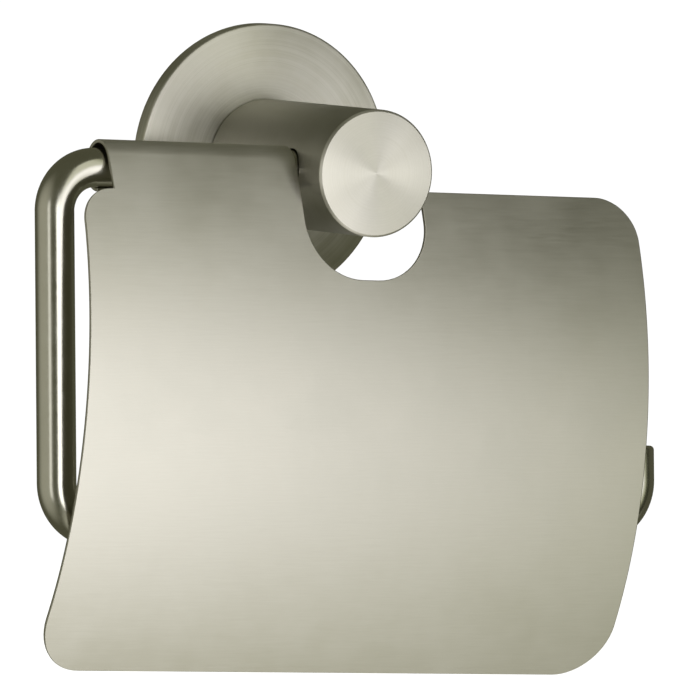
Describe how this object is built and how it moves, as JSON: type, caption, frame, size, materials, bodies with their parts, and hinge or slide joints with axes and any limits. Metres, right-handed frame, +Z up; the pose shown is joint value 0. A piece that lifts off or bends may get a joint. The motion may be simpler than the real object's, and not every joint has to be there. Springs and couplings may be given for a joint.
{
  "type": "toilet paper holder",
  "caption": "Wall-mounted toilet paper holder: a round rosette and post carry a bent rod for the roll, and a curved sheet-metal cover is rolled around the rod as its hinge.",
  "frame": {"origin": "centre of the wall plate's back face, on the wall and on the post's axis", "axes": "+Y into the wall, -Y towards the user, +X to the user's right along the rod's arm, +Z up"},
  "size_m": [0.1418, 0.0839, 0.1328],
  "materials": {
    "zinc_plated": "zinc plated steel, dull",
    "nylon": "moulded grey nylon",
    "rosette_steel": "stainless steel with concentric turning lines",
    "post_steel": "stainless steel, satin side and concentrically turned front face",
    "rod_steel": "satin stainless steel rod",
    "cover_steel": "stainless steel sheet brushed along its width"
  },
  "bodies": {
    "holder": {"wall_plate": "zinc_plated", "wall_screw_upper": "zinc_plated", "wall_screw_lower": "zinc_plated", "wall_plug_upper": "nylon", "wall_plug_lower": "nylon", "rosette": "rosette_steel", "post": "post_steel", "plate_grub_screw": "zinc_plated", "rod_grub_screw": "zinc_plated", "wire_holder": "rod_steel"},
    "cover": {"cover": "cover_steel"}
  },
  "joints": [
    {"name": "cover_hinge", "type": "hinge", "parent": "holder", "child": "cover", "pos_m": [0, -0.0392, 0], "axis": [-1, 0, 0], "range_deg": [0, 200]}
  ]
}
